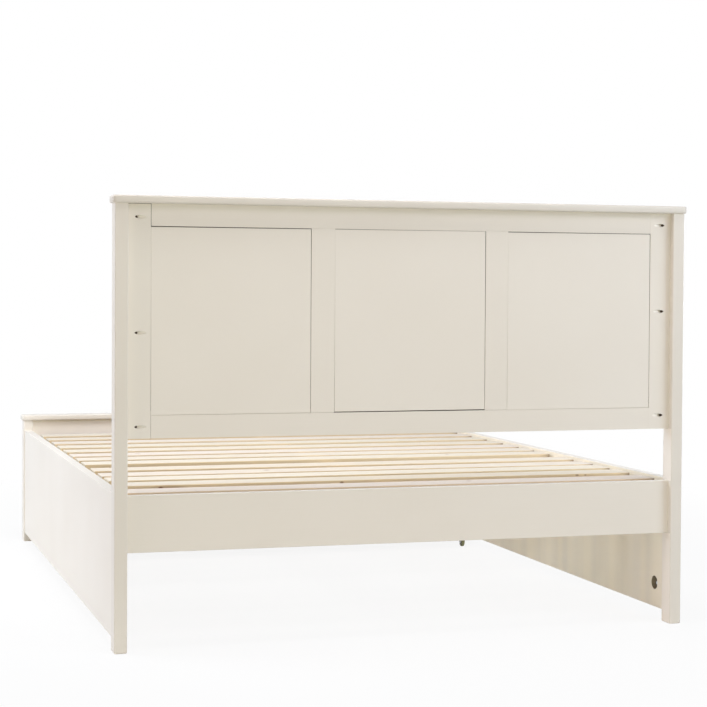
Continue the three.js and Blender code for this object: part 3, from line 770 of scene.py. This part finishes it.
class BED_OT_studio(bpy.types.Operator):
    """Makes the camera, the lamps, the white room and the floor"""

    bl_idname = "bed.studio"
    bl_label = "Studio"

    def execute(self, context):
        scene = context.scene
        scene.view_settings.view_transform = "Standard"
        self.make_camera(scene)
        for word, lamp in LAMPS.items():
            self.make_lamp(scene, word, *lamp)
        bpy.data.lights["ceiling_lamp"].spread = math.radians(CEILING_SPREAD)
        self.make_room(scene)
        self.make_floor(scene.bed_studio)
        return {"FINISHED"}

    def make_camera(self, scene):
        data = bpy.data.cameras.new("camera")
        data.sensor_width = SENSOR_WIDTH
        data.sensor_fit = "HORIZONTAL"
        data.lens = FOCAL_PIXELS / PICTURE_SIZE * SENSOR_WIDTH
        data.shift_y = (OPTICAL_CENTRE_Y - PICTURE_SIZE / 2) / PICTURE_SIZE
        data.clip_end = 100
        camera = bpy.data.objects.new("camera", data)
        scene.collection.objects.link(camera)
        heading = Matrix.Rotation(math.radians(180 - CAMERA_YAW), 4, "Z")
        tilt = Matrix.Rotation(math.radians(90 - CAMERA_PITCH), 4, "X")
        roll = Matrix.Rotation(math.radians(CAMERA_ROLL), 4, "Z")
        camera.matrix_world = Matrix.Translation(CAMERA_PLACE) @ heading @ tilt @ roll
        scene.camera = camera

    def make_lamp(self, scene, word, place, target, size, colour):
        data = bpy.data.lights.new(f"{word}_lamp", "AREA")
        data.shape = "RECTANGLE"
        data.size, data.size_y = size
        data.energy = getattr(scene.bed_studio, word)
        data.color = colour
        lamp = bpy.data.objects.new(data.name, data)
        scene.collection.objects.link(lamp)
        lamp.location = place
        lamp.rotation_euler = (Vector(target) - Vector(place)).to_track_quat("-Z", "Y").to_euler()

    def make_room(self, scene):
        """A room that is white where it is seen, and adds no light to the bed."""
        world = bpy.data.worlds.new("white_room")
        world.use_nodes = True
        add = partial(add_node, world.node_tree)
        white = add("Background", {"Color": (1, 1, 1), "Strength": seen_directly(add)})
        feed(world.node_tree.nodes["World Output"], {"Surface": white})
        scene.world = world

    def make_floor(self, studio):
        """A floor that turns from pale, where it takes the shadow, to the white of the room further out."""
        deselect_all()
        bpy.ops.mesh.primitive_circle_add(vertices=64, radius=FLOOR_RADIUS, fill_type="NGON")
        floor = bpy.context.object
        floor.name = "floor"
        begin_edit(floor, "FACE", "SELECT")
        bpy.ops.mesh.inset(thickness=FLOOR_RIM)
        bpy.ops.object.mode_set(mode="OBJECT")
        material, add, shader, place = start_material("white_painted_floor")
        material.node_tree.nodes.remove(shader)
        matt = add("BsdfDiffuse", {"Color": studio.floor})
        white = add("Emission", {"Color": (1, 1, 1), "Strength": 1.0})
        reach = add("VectorMath", (place,), operation="LENGTH")
        share = add("MapRange", (reach, 1.2, 3.0, 0.9, 1.0))
        seen = add("Math", (seen_directly(add), share), operation="MULTIPLY")
        surface = add("MixShader", (seen, matt, white))
        feed(material.node_tree.nodes["Material Output"], {"Surface": surface})
        floor.data.materials.append(material)


class BED_OT_lacquer(bpy.types.Operator):
    """Lacquers the posts, rails, panels and the drawer front"""

    bl_idname = "bed.lacquer"
    bl_label = "Lacquered boards"

    def execute(self, context):
        colours = context.scene.bed_colours
        joint = (panel_joint_shade_mask, colours.joint_shade)
        bored = (bolt_pocket_mask, colours.raw_board)
        pocket_light = (pocket_wall_light_mask, colours.pocket_wall_painted_light)
        side_band_light = (side_band_light_mask, colours.side_band_painted_light)
        low_post_light = (low_post_light_mask, colours.low_post_painted_light)
        # The posts, the caps and the top rail are a little darker. The foot rail is painted paler: painted
        # light on the face that the headboard shades.
        post = lacquer("pine_post", ALONG_Z, colours, 1.0, 0.95, painted_light=low_post_light)
        cap = lacquer("pine_cap", ALONG_X, colours, 1.0, 0.9)
        top_rail = lacquer("pine_top_rail", ALONG_X, colours, 1.0, 0.98, joint)
        foot_rail = lacquer("pine_foot_rail", ALONG_X, colours, 1.0, 1.1)
        upright = lacquer("pine_upright", ALONG_Z, colours, 0.8, 1.0, joint, pocket_light)
        across = lacquer("pine_across", ALONG_X, colours, 1.0, 1.0, joint)
        panel = lacquer("fibreboard", ALONG_Z, colours, 0.0, 1.0, joint)
        side = lacquer("bored_fibreboard", ALONG_Y, colours, 0.0, 1.0, bored, side_band_light)
        for word in SIDES:
            dress(post, f"head_post_{word}", f"foot_post_{word}")
            dress(upright, f"headboard_mullion_{word}", f"headboard_stile_{word}")
            dress(panel, f"headboard_panel_{word}")
            dress(side, f"side_panel_{word}")
        dress(panel, "headboard_panel_centre")
        dress(top_rail, "headboard_top_rail")
        dress(foot_rail, "foot_rail")
        dress(across, "head_rail", "headboard_bottom_rail", "drawer_front")
        for name in ("headboard_cap", "footboard_cap"):
            self.make_cap(name, context.scene.bed_fittings, cap)
        return {"FINISHED"}

    def make_cap(self, node_name, sizes, material):
        """A capping board with its corners rounded in plan and its long edges eased."""
        low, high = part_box(node_name)
        deselect_all()
        bpy.ops.mesh.primitive_cube_add(size=1, location=(low + high) / 2)
        cap = bpy.context.object
        rename(cap, f"{node_name}_board")
        cap.scale = high - low
        apply_place(cap)

        def level(edge):
            return abs(edge.verts[0].co.z - edge.verts[1].co.z) < 0.1 * MM

        begin_edit(cap, "EDGE")
        pick(cap, "edges", lambda edge: not level(edge))
        bpy.ops.mesh.bevel(offset=sizes.cap_corner, segments=6, affect="EDGES")
        pick(cap, "edges", level)
        bpy.ops.mesh.bevel(offset=sizes.cap_arris, segments=4, affect="EDGES")
        end_edit()
        smooth(cap, 40)
        finish_piece(cap, material, "frame")
        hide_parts(node_name)


class BED_OT_mattress_base(bpy.types.Operator):
    """Gives the slats, their ledges and the centre beam their pine"""

    bl_idname = "bed.mattress_base"
    bl_label = "Mattress base"

    def execute(self, context):
        colours = context.scene.bed_colours
        for index, name in enumerate(SLATS):
            dress(self.slat_pine(name, index, colours), name)
        # The pith of the beam lies 30 mm under it, and that of a ledge 60 mm inside the side panel
        beam_pith = (0.02, 0.0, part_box("centre_beam")[0].z - 0.03)
        dress(pine("beam", ALONG_Y, colours, beam_pith, 0.7, (0.97, 0.95, 0.92)), "centre_beam")
        for word, side in SIDES.items():
            pith = (side * (SIDE_INNER - 0.06), 0.0, 0.33)
            ledge = pine(f"ledge_{word}", ALONG_Y, colours, pith, 0.3 * side, (1.0, 0.99, 0.97))
            dress(ledge, f"slat_ledge_{word}")
        self.make_ledge_screws(context.scene)
        return {"FINISHED"}

    def slat_pine(self, name, index, colours):
        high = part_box(name)[1]
        middle = middle_of(name)
        # Each board was sawn at its own distance from the pith, which lies under it or over it
        offset = ((index * 37) % 11 - 5) * 8 * MM
        depth = (30 + (index * 23) % 29) * MM
        above = 1 if index % 3 == 0 else -1
        pith = (0.0, middle.y + offset, middle.z + above * depth)
        warmth = ((index * 5) % 7 - 3) * 0.006
        # Painted light and shade: the boards nearest to the headboard are painted palest, and each further
        # one darker
        shade = 1.04 - 0.019 * index
        tone = (shade, shade * (1.0 - abs(warmth)), shade * (1.0 - 1.5 * warmth))
        edges = (middle.y, high.y - middle.y, high.x)
        knots = SLAT_KNOTS.get(name, ())
        return pine(name, ALONG_X, colours, pith, 0.31 * index, tone, knots, edges)

    def make_ledge_screws(self, scene):
        plate = zinc_plate("screw", scene.bed_colours)
        head = pan_head("ledge_screw", scene.bed_fittings.small_head * 1.25)
        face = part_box("slat_ledge_right")[0].x
        height = middle_of("slat_ledge_right").z
        for word, side in SIDES.items():
            places = []
            for index in range(LEDGE_SCREWS):
                along = (index - (LEDGE_SCREWS - 1) / 2) * LEDGE_SCREW_SPACING
                places.append((side * face, along, height))
            screws = spread(head, places, (-side, 0, 0), f"ledge_screws_{word}")
            finish_piece(screws, plate, "frame")
        discard(head)


class BED_OT_headboard_screws(bpy.types.Operator):
    """Sets the blackened screws in the headboard's angled pockets"""

    bl_idname = "bed.headboard_screws"
    bl_label = "Headboard screws"

    def execute(self, context):
        black = black_oxide("black_oxide_screw", context.scene.bed_colours)
        sizes = context.scene.bed_fittings
        head = turned("pocket_screw", WASHER_OUTLINE, sizes.pocket_head, sizes.pocket_rise, HEAD_SIDES)
        smooth(head, 40)
        for word, side in SIDES.items():
            inward = Vector((side * math.cos(POCKET_ANGLE), -math.sin(POCKET_ANGLE), 0))
            places = []
            for height in POCKET_HEIGHTS[word]:
                mouth = Vector((side * (POST_INNER - POCKET_FROM_POST), STILE_BACK, height))
                places.append(mouth + inward * POCKET_REACH)
            screws = spread(head, places, -inward, f"headboard_screws_{word}")
            finish_piece(screws, black, "frame")
        discard(head)
        return {"FINISHED"}


class BED_OT_frame_fittings(bpy.types.Operator):
    """Plates the bolts and the beam brackets, and screws the brackets down"""

    bl_idname = "bed.frame_fittings"
    bl_label = "Bolts and brackets"

    def execute(self, context):
        plate = zinc_plate("steel", context.scene.bed_colours)
        dress(plate, *(name for name in NODES if name.startswith(("side_bolt_", "beam_bracket_"))))
        head = pan_head("bracket_screw", context.scene.bed_fittings.small_head)
        for word, end in (("head", 1), ("foot", -1)):
            low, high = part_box(f"beam_bracket_{word}")
            # Each of the plate's wings takes two screws
            face = high.y - BRACKET_PLATE if end > 0 else low.y + BRACKET_PLATE
            wing = high.x - BRACKET_SCREW_X
            heights = (low.z + BRACKET_SCREW_Z, high.z - BRACKET_SCREW_Z)
            places = [(x, face, z) for x in (-wing, wing) for z in heights]
            screws = spread(head, places, (0, -end, 0), f"bracket_screws_{word}")
            finish_piece(screws, plate, "frame")
        discard(head)
        return {"FINISHED"}


class BED_OT_drawer(bpy.types.Operator):
    """Gives the drawer its plywood and its turned knobs"""

    bl_idname = "bed.drawer"
    bl_label = "Drawer"

    def execute(self, context):
        colours = context.scene.bed_colours
        sizes = context.scene.bed_fittings
        for word, side in SIDES.items():
            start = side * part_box("drawer_side_right")[0].x
            plywood = birch_plywood(f"side_{word}", ALONG_X, ALONG_Y, start, colours)
            dress(plywood, f"drawer_side_{word}")
        back_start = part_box("drawer_back")[0].y
        dress(birch_plywood("back", ALONG_Y, ALONG_X, back_start, colours), "drawer_back")
        bottom_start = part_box("drawer_bottom")[0].z
        dress(birch_plywood("bottom", ALONG_Z, ALONG_X, bottom_start, colours), "drawer_bottom")
        self.make_knobs(colours, sizes)
        return {"FINISHED"}

    def make_knobs(self, colours, sizes):
        knob = turned("drawer_knob", KNOB_OUTLINE, sizes.knob_radius, sizes.knob_length, sides=40)
        smooth(knob, 50)
        finish = lacquer("turned_beech", ALONG_Y, colours, 0.4)
        plate = zinc_plate("knob_screw", colours)
        head = pan_head("knob_screw", sizes.small_head * 1.4)
        inner_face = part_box("drawer_front")[1].y
        for word in SIDES:
            x, _, z = middle_of(f"drawer_knob_{word}")
            foot = (x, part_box(f"drawer_knob_{word}")[1].y, z)
            piece = copy_to(knob, f"turned_knob_{word}", facing((0, -1, 0), foot))
            finish_piece(piece, finish, "drawer")
            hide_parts(f"drawer_knob_{word}")
            screw = copy_to(head, f"knob_screw_{word}", facing((0, 1, 0), (x, inner_face, z)))
            finish_piece(screw, plate, "drawer")
        discard(knob, head)


class BED_OT_castors(bpy.types.Operator):
    """Makes the castor wheels with tyre and hub, and the screws and rivets of their forks"""

    bl_idname = "bed.castors"
    bl_label = "Castors"

    def execute(self, context):
        colours = context.scene.bed_colours
        sizes = context.scene.bed_fittings
        plate = zinc_plate("fork", colours)
        rubber = moulded("moulded_grey_rubber", colours.tyre, 0.55, 0.72)
        plastic = moulded("moulded_hub_plastic", colours.hub, 0.42, 0.55)
        tyre = self.make_tyre(sizes)
        hub = self.make_hub(sizes)
        rivet = turned("rivet", RIVET_OUTLINE, MM, MM, sides=24)
        smooth(rivet, 50)
        screw = pan_head("castor_screw", sizes.small_head)
        for tag in [f"{where}_{word}" for where in ("back", "front") for word in SIDES]:
            dress(plate, f"castor_fork_{tag}")
            self.place_wheel(tag, tyre, rubber, hub, plastic)
            self.place_fork_details(tag, rivet, screw, plate)
        discard(tyre, hub, rivet, screw)
        return {"FINISHED"}

    def make_tyre(self, sizes):
        """A solid tyre with a rounded tread."""
        radius = sizes.wheel_radius
        half = sizes.wheel_width / 2
        seat = 13.2 * MM
        return self.spun("tyre", [
            (seat, -half + 0.6 * MM),
            (seat + 0.6 * MM, -half),
            (radius - 3.0 * MM, -half),
            (radius - 1.3 * MM, -half + 0.6 * MM),
            (radius - 0.35 * MM, -half + 2.0 * MM),
            (radius, -half + 4.0 * MM),
        ])

    def make_hub(self, sizes):
        """A moulded hub with a thin web between its boss and its rim, bored for the axle."""
        half = sizes.wheel_width / 2
        bore = 3.08 * MM
        boss = 6.3 * MM
        rim = 11.6 * MM
        seat = 13.25 * MM
        web = 1.4 * MM
        return self.spun("hub", [
            (bore, -half + 0.1 * MM),
            (boss - 0.5 * MM, -half + 0.1 * MM),
            (boss, -half + 0.6 * MM),
            (boss + 0.5 * MM, -web),
            (rim - 0.4 * MM, -web),
            (rim, -half + 1.0 * MM),
            (rim + 0.4 * MM, -half + 0.5 * MM),
            (seat, -half + 0.5 * MM),
        ])

    def spun(self, name, half_section):
        """Spins a closed section round the X axis. Half of it is given, as radius and place along the axle,
        and the other half mirrors it."""
        section = half_section + [(reach, -along) for reach, along in reversed(half_section)]
        deselect_all()
        bpy.ops.mesh.primitive_circle_add(vertices=len(section), radius=5 * MM, fill_type="NOTHING")
        piece = bpy.context.object
        rename(piece, name)
        for vertex, (reach, along) in zip(piece.data.vertices, section):
            vertex.co = (along, 0, reach)
        begin_edit(piece, "VERT", "SELECT")
        bpy.ops.mesh.spin(steps=48, angle=math.tau, center=(0, 0, 0), axis=(1, 0, 0), use_auto_merge=True)
        end_edit()
        smooth(piece, 40)
        return piece

    def place_wheel(self, tag, tyre, rubber, hub, plastic):
        place = Matrix.Translation(middle_of(f"castor_wheel_{tag}"))
        outer = copy_to(tyre, f"castor_tyre_{tag}", place)
        finish_piece(outer, rubber, f"wheel_{tag}")
        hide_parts(f"castor_wheel_{tag}")
        inner = copy_to(hub, f"castor_hub_{tag}", place)
        finish_piece(inner, plastic, f"wheel_{tag}")

    def place_fork_details(self, tag, rivet, screw, plate):
        middle = middle_of(f"castor_wheel_{tag}")
        ends = []
        for side in SIDES.values():
            turn = facing((side, 0, 0), middle + Vector((side * CHEEK_FACE, 0, 0)))
            ends.append(copy_to(rivet, f"castor_rivet_{tag}_{side}", turn))
        finish_piece(join_pieces(ends, f"castor_rivets_{tag}"), plate, "drawer")
        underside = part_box(f"castor_fork_{tag}")[1].z - FORK_PLATE
        corners = []
        for x in (-FORK_SCREW_X, FORK_SCREW_X):
            for y in (-FORK_SCREW_Y, FORK_SCREW_Y):
                corners.append((middle.x + x, middle.y + y, underside))
        screws = spread(screw, corners, (0, 0, -1), f"castor_screws_{tag}")
        finish_piece(screws, plate, "drawer")


class BED_PT_builder(bpy.types.Panel):
    """Lists the pieces of the bed in the sidebar"""

    bl_label = "Storage Bed"
    bl_idname = "BED_PT_builder"
    bl_space_type = "VIEW_3D"
    bl_region_type = "UI"
    bl_category = "Storage Bed"

    def draw(self, context):
        for operator in OPERATORS:
            self.layout.operator(operator.bl_idname)
        for group_name in GROUPS:
            group = getattr(context.scene, group_name)
            for name in group.bl_rna.properties.keys():
                if name not in ("rna_type", "name"):
                    self.layout.prop(group, name)


GROUPS = {"bed_colours": BedColours, "bed_fittings": BedFittings, "bed_studio": BedStudio}
OPERATORS = (
    BED_OT_studio,
    BED_OT_lacquer,
    BED_OT_mattress_base,
    BED_OT_headboard_screws,
    BED_OT_frame_fittings,
    BED_OT_drawer,
    BED_OT_castors,
)


def register():
    for item in (*GROUPS.values(), *OPERATORS, BED_PT_builder):
        bpy.utils.register_class(item)
    for name, group in GROUPS.items():
        setattr(bpy.types.Scene, name, bpy.props.PointerProperty(type=group))


def unregister():
    for name in GROUPS:
        delattr(bpy.types.Scene, name)
    for item in reversed((*GROUPS.values(), *OPERATORS, BED_PT_builder)):
        bpy.utils.unregister_class(item)


def main():
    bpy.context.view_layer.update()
    register()
    bpy.ops.bed.studio()
    bpy.ops.bed.lacquer()
    bpy.ops.bed.mattress_base()
    bpy.ops.bed.headboard_screws()
    bpy.ops.bed.frame_fittings()
    bpy.ops.bed.drawer()
    bpy.ops.bed.castors()


if __name__ == "__main__":
    main()
